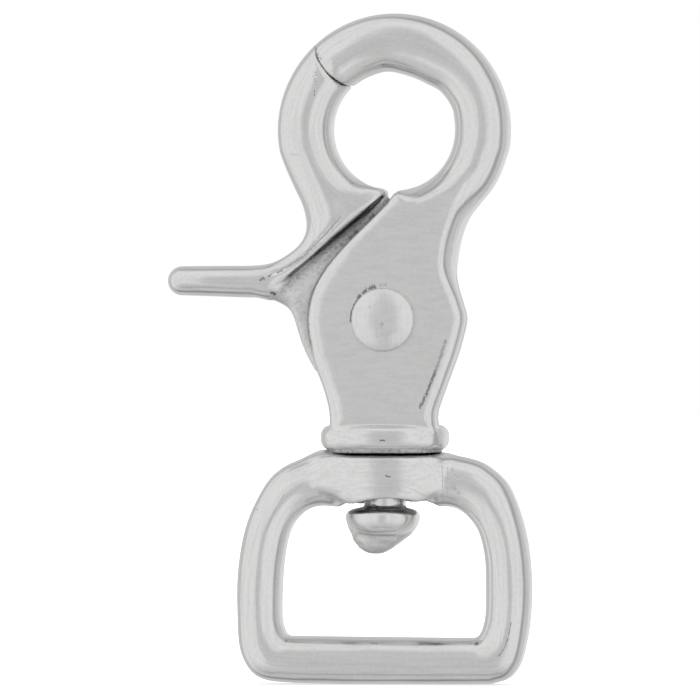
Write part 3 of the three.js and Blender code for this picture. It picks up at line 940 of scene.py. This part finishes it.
def cast_metal(name, tone, gloss):
    """Polished cast metal: satin faces, rough cast recesses, polishing lines, wavy gloss and pits, with
    painted shade darkening the colour in hollows and under parts.
    """
    material, n, surface = new_material(name)
    place = n.add("ShaderNodeTexCoord").outputs["Object"]
    satin, rough, painted_shade = n.mark("satin"), n.mark("rough"), n.mark("painted_shade")
    waves = n.noise(place, DETAIL["waves"], 1.0)
    dents = n.noise(place, DETAIL["dents"], 0.0)
    fine = n.noise(place, DETAIL["fine"], 4.0)
    grain = n.noise(place, DETAIL["grain"], 2.0)
    polishing = n.noise(n.mark("fibre", "Vector"), 2.8, 2.0)
    brushing = n.noise(place, DETAIL["brushing"], 2.0, (0.25, 1, 1))
    lines = n.blend(polishing, brushing, satin)
    flawed = flaws(n, place, FLAWS[name])
    n.put(surface, "Roughness", n.total(
        gloss - 0.08, (lines, 0.16), (satin, 0.12), (rough, 0.3), (flawed, 0.4), clamp=True))
    surface.inputs["Metallic"].default_value = 1.0
    specks = n.maths("MULTIPLY", n.ease(fine, 0.48, 0.64), n.total(0.02, (rough, 0.08), (painted_shade, 0.35)))
    streaks, mottle = n.ease(lines, 0.35, 0.7), n.ease(fine, 0.35, 0.75)
    # The colour darkens with specks, polishing streaks, mottle and marks, and with painted shade from the
    # mesh's mark of hollows and undersides.
    stain_and_shade = n.total(specks, (painted_shade, 0.8), (streaks, 0.08), (mottle, 0.035), (flawed, 0.8), clamp=True)
    stain_and_shade_tone = [0.16 * c for c in tone]
    n.put(surface, "Base Color", n.tones(stain_and_shade, tone, stain_and_shade_tone))
    casting, tooling = n.total(0.006, (rough, 0.3)), n.total(0.002, (satin, 0.02))
    height = n.total(waves, (lines, 0.09), (dents, 0.16), (fine, casting), (grain, tooling), (flawed, -0.2))
    bump = n.add("ShaderNodeBump", Strength=1.0, Distance=0.00012, Height=height)
    n.put(surface, "Normal", bump.outputs[0])
    return material


def spring_metal():
    """Drawn steel wire, darker than the castings."""
    material, n, surface = new_material("spring_wire")
    streak = n.noise(n.add("ShaderNodeTexCoord").outputs["Object"], DETAIL["brushing"])
    surface.inputs["Metallic"].default_value = 1.0
    n.put(surface, "Base Color", n.tones(streak, (0.46, 0.47, 0.49), (0.56, 0.57, 0.58)))
    n.put(surface, "Roughness", n.maths("MULTIPLY_ADD", streak, 0.2, 0.22))
    bump = n.add("ShaderNodeBump", Strength=0.4, Distance=0.00005, Height=streak)
    n.put(surface, "Normal", bump.outputs[0])
    return material


def floor_material():
    """A pale, matt floor, bright enough to fade into the backdrop."""
    material, n, surface = new_material("pale_floor")
    cloud = n.noise(n.add("ShaderNodeTexCoord").outputs["Object"], 14.0)
    n.put(surface, "Base Color", n.tones(cloud, (0.93, 0.93, 0.93), (0.96, 0.96, 0.96)))
    surface.inputs["Roughness"].default_value = 0.9
    surface.inputs["Emission Color"].default_value = (1, 1, 1, 1)
    surface.inputs["Emission Strength"].default_value = 0.45
    return material


# ---------------------------------------------------------------- the studio
# How bright the tent's panels are.
PANEL = {"front": 0.62, "side": 0.85, "top": 0.84, "foot": 0.65, "table_edge": 0.45, "back": 0.64}
# How bright the seams are, how far behind the object they lie, and how they lean and bend.
SEAM = {"left": 0.58, "right": 0.36, "foot": 0.25, "behind": 0.221, "lean": 0.364, "bend": -0.17}


def tent_light(n):
    """How bright the light tent is by direction: soft side and top panels, a greyer front and back,
    and dark seams round the object where the front panels end."""
    place = n.add("ShaderNodeTexCoord").outputs["Generated"]
    across, behind, up = n.add("ShaderNodeSeparateXYZ", Vector=place).outputs
    turn = n.maths("ARCTAN2", n.maths("ABSOLUTE", across), n.maths("ABSOLUTE", behind))
    light = n.ease(turn, 0.13, 0.31, PANEL["front"], PANEL["side"])
    light = n.blend(light, PANEL["top"], n.ease(up, 0.68, 0.93))
    down = n.maths("MULTIPLY", up, -1.0)
    light = n.blend(light, PANEL["foot"], n.ease(down, 0.45, 0.85))
    table = n.ease(n.maths("ABSOLUTE", n.maths("SUBTRACT", down, 0.94)), 0.05, 0.01)
    table = n.maths("MULTIPLY", table, n.ease(behind, 0.05, -0.1))
    light = n.blend(light, PANEL["table_edge"], table)
    past = n.maths("SUBTRACT", behind, SEAM["behind"])
    past = n.total(past, (across, SEAM["lean"]), (n.maths("ABSOLUTE", up), SEAM["bend"]))
    back = n.maths("MULTIPLY", n.ease(past, 0.0, 0.15), n.ease(past, 0.8, 0.4))
    light = n.blend(light, PANEL["back"], back)
    dark = n.ease(across, -0.9, 0.3, SEAM["left"], SEAM["right"])
    dark = n.blend(dark, SEAM["foot"], n.ease(down, 0.5, 0.9))
    return n.blend(light, dark, n.ease(n.maths("ABSOLUTE", past), 0.24, 0.03))


def studio_world():
    """The tent lights the metal; the camera sees white beyond the floor."""
    world = bpy.data.worlds.new("studio")
    bpy.context.scene.world = world
    world.use_nodes = True
    world.node_tree.nodes.clear()
    n = Nodes(world.node_tree)
    tent = n.add("ShaderNodeBackground", Color=(1, 1, 1, 1), Strength=tent_light(n))
    backdrop = n.add("ShaderNodeBackground", Color=(1, 1, 1, 1))
    seen = n.add("ShaderNodeLightPath").outputs["Is Camera Ray"]
    both = n.add("ShaderNodeMixShader", Fac=seen)
    n.put(both, 1, tent.outputs[0])
    n.put(both, 2, backdrop.outputs[0])
    n.add("ShaderNodeOutputWorld", Surface=both.outputs[0])


def overhead_light():
    """Soft light from above, for the floor and the shadow on it."""
    data = bpy.data.lights.new("overhead", "SUN")
    data.angle = math.radians(70)
    data.energy = 1.8
    lamp = bpy.data.objects.new("overhead", data)
    lamp.visible_glossy = False
    bpy.context.scene.collection.objects.link(lamp)


def floor():
    """The stage under the strap eye's foot."""
    half = 3.0
    z = EYE_FOOT * MM - 0.00005
    corners = [(-half, -half, z), (half, -half, z), (half, half, z), (-half, half, z)]
    mesh = bpy.data.meshes.new("floor")
    mesh.from_pydata(corners, [], [(0, 1, 2, 3)])
    plane = bpy.data.objects.new("floor", mesh)
    bpy.context.scene.collection.objects.link(plane)
    plane.data.materials.append(floor_material())
    plane.visible_glossy = False         # the tent has its own foot


AIM = Vector((-4.45, 0.0, 36.4)) * MM
CAMERA_AZIMUTH = 3.5                     # degrees to the right of straight in front
CAMERA_AWAY = 0.75                       # metres
FRAME_WIDTH = 88.9 * MM                  # what the picture's width covers at the object


def camera():
    """The photo's view: level, from far away."""
    data = bpy.data.cameras.new("camera")
    data.sensor_width = 36.0
    data.lens = data.sensor_width * CAMERA_AWAY / FRAME_WIDTH
    data.clip_start = 0.01
    data.clip_end = 20.0
    lens = bpy.data.objects.new("camera", data)
    turn = math.radians(CAMERA_AZIMUTH)
    lens.location = AIM + CAMERA_AWAY * Vector((math.sin(turn), -math.cos(turn), 0.0))
    lens.rotation_euler = (AIM - lens.location).to_track_quat("-Z", "Y").to_euler()
    bpy.context.scene.collection.objects.link(lens)
    bpy.context.scene.camera = lens


# ---------------------------------------------------------------- assembly
camera()
studio_world()
overhead_light()
floor()

CAST = ((0.83, 0.83, 0.825), 0.20)       # tone and gloss of the castings
STEEL = ((0.84, 0.84, 0.835), 0.24)      # and of the rivet
PIECES = (
    # build, node, body, material slot, tone and gloss
    (build_hook, "hook_body", "hook", "cast_body", CAST),
    (build_trigger, "trigger", "gate", "cast_trigger", CAST),
    (build_rivet, "pivot_rivet", "hook", "rivet_steel", STEEL),
    (build_eye, "strap_eye", "eye", "cast_eye", CAST),
)
for build, node, body, slot, (tone, gloss) in PIECES:
    made = build()
    made.data.materials.append(cast_metal(made.name, tone, gloss))
    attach(made, body)
    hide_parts(node)

spring = build_spring()
spring.data.materials.append(spring_metal())
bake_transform(spring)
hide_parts("trigger_spring")

scene = bpy.context.scene
scene.view_settings.view_transform = "Standard"
